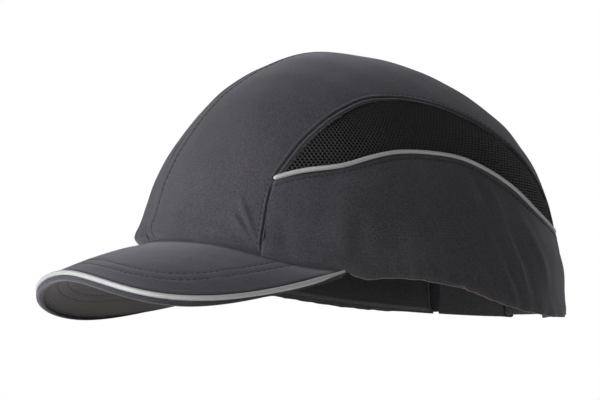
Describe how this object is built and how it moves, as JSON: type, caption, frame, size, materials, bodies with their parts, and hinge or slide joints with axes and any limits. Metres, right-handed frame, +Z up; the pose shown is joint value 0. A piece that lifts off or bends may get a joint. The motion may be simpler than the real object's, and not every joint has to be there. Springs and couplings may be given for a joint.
{
  "type": "bump cap",
  "caption": "Fabric cap with a short peak over a vented impact shell, with mesh sides, reflective piping and a cam-buckle size strap.",
  "frame": {"origin": "middle of the bounding box, on the table that the cap stands on", "axes": "+X is the wearer's left, +Y the back of the cap, -Y the way the peak points, +Z up"},
  "size_m": [0.18, 0.2768, 0.1355],
  "materials": {
    "crown_cloth": "fine charcoal twill with a slight sheen",
    "inner_cloth": "dark woven lining and binding",
    "mesh_cloth": "black open knit mesh",
    "reflective_cloth": "silver-grey retroreflective piping",
    "shell_plastic": "satin moulded polyethylene",
    "foam": "fine closed-cell foam",
    "terry": "black terry",
    "webbing": "ribbed webbing",
    "buckle_plastic": "satin black acetal",
    "pin_steel": "drawn wire"
  },
  "bodies": {
    "cap": {"crown_panel_left": "crown_cloth", "crown_panel_right": "crown_cloth", "mesh_panel_left": "mesh_cloth", "mesh_panel_right": "mesh_cloth", "side_panel_left": "crown_cloth", "side_panel_right": "crown_cloth", "side_piping_left": "reflective_cloth", "side_piping_right": "reflective_cloth", "hem_binding_left": "inner_cloth", "hem_binding_right": "inner_cloth", "arch_binding": "inner_cloth", "crown_seam_tape": "inner_cloth", "peak_cover_top": "crown_cloth", "peak_board": "shell_plastic", "peak_cover_under": "inner_cloth", "peak_piping": "reflective_cloth", "peak_binding": "inner_cloth", "sweatband": "terry", "impact_shell": "shell_plastic", "crown_pad": "foam", "front_pad": "foam", "rear_pad": "foam", "side_pad_left": "foam", "side_pad_right": "foam", "shell_tab_left": "inner_cloth", "shell_tab_right": "inner_cloth", "strap_tunnel_left": "inner_cloth", "strap_tunnel_right": "inner_cloth", "buckle_frame": "buckle_plastic", "buckle_pin": "pin_steel", "buckle_anchor_tab": "webbing"},
    "strap": {"adjuster_strap": "webbing"},
    "lever": {"buckle_lever": "buckle_plastic"}
  },
  "joints": [
    {"name": "strap_adjust", "type": "hinge", "parent": "cap", "child": "strap", "pos_m": [0, 0.06426, 0.01674], "axis": [0, -0.0872, -0.9962], "range_deg": [0, 28]},
    {"name": "buckle_lever_turn", "type": "hinge", "parent": "cap", "child": "lever", "pos_m": [0.01874, 0.13221, 0.01136], "axis": [0.0442, 0.153, -0.9872], "range_deg": [0, 95]}
  ]
}
